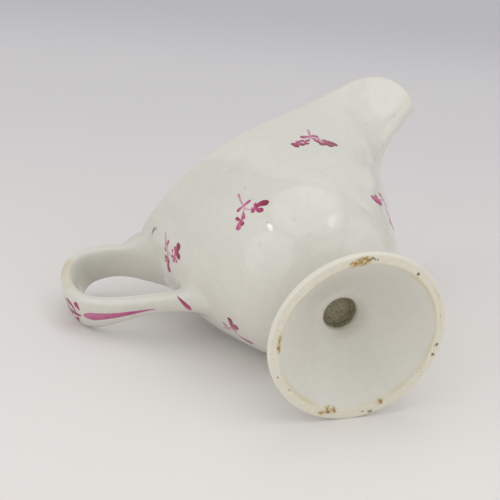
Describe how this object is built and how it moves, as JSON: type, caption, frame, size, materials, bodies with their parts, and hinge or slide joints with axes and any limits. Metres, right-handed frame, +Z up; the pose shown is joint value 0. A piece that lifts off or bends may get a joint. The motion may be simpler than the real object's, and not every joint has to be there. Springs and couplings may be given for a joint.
{
  "type": "cream jug",
  "caption": "Small helmet-shaped porcelain jug with a drawn-up pouring lip, spreading foot and raised strap handle, for serving cream at table",
  "frame": {"origin": "on the table plane, under the middle of the jug's overall length from handle to spout", "axes": "+X points along the spout, -X to the handle, +Z up from the standing ring to the rim, Y across the jug, whose two sides are alike"},
  "size_m": [0.1184, 0.0546, 0.1013],
  "materials": {
    "glaze": "thick glossy glaze over off-white porcelain, slightly warm grey, with fine specks and puce enamel sprigs",
    "foot_glaze": "the same glaze, bare and buff with brown stains on the standing ring, rough and dark inside the stem"
  },
  "bodies": {
    "root": {"body": "glaze", "foot": "foot_glaze", "handle": "glaze"}
  },
  "joints": []
}
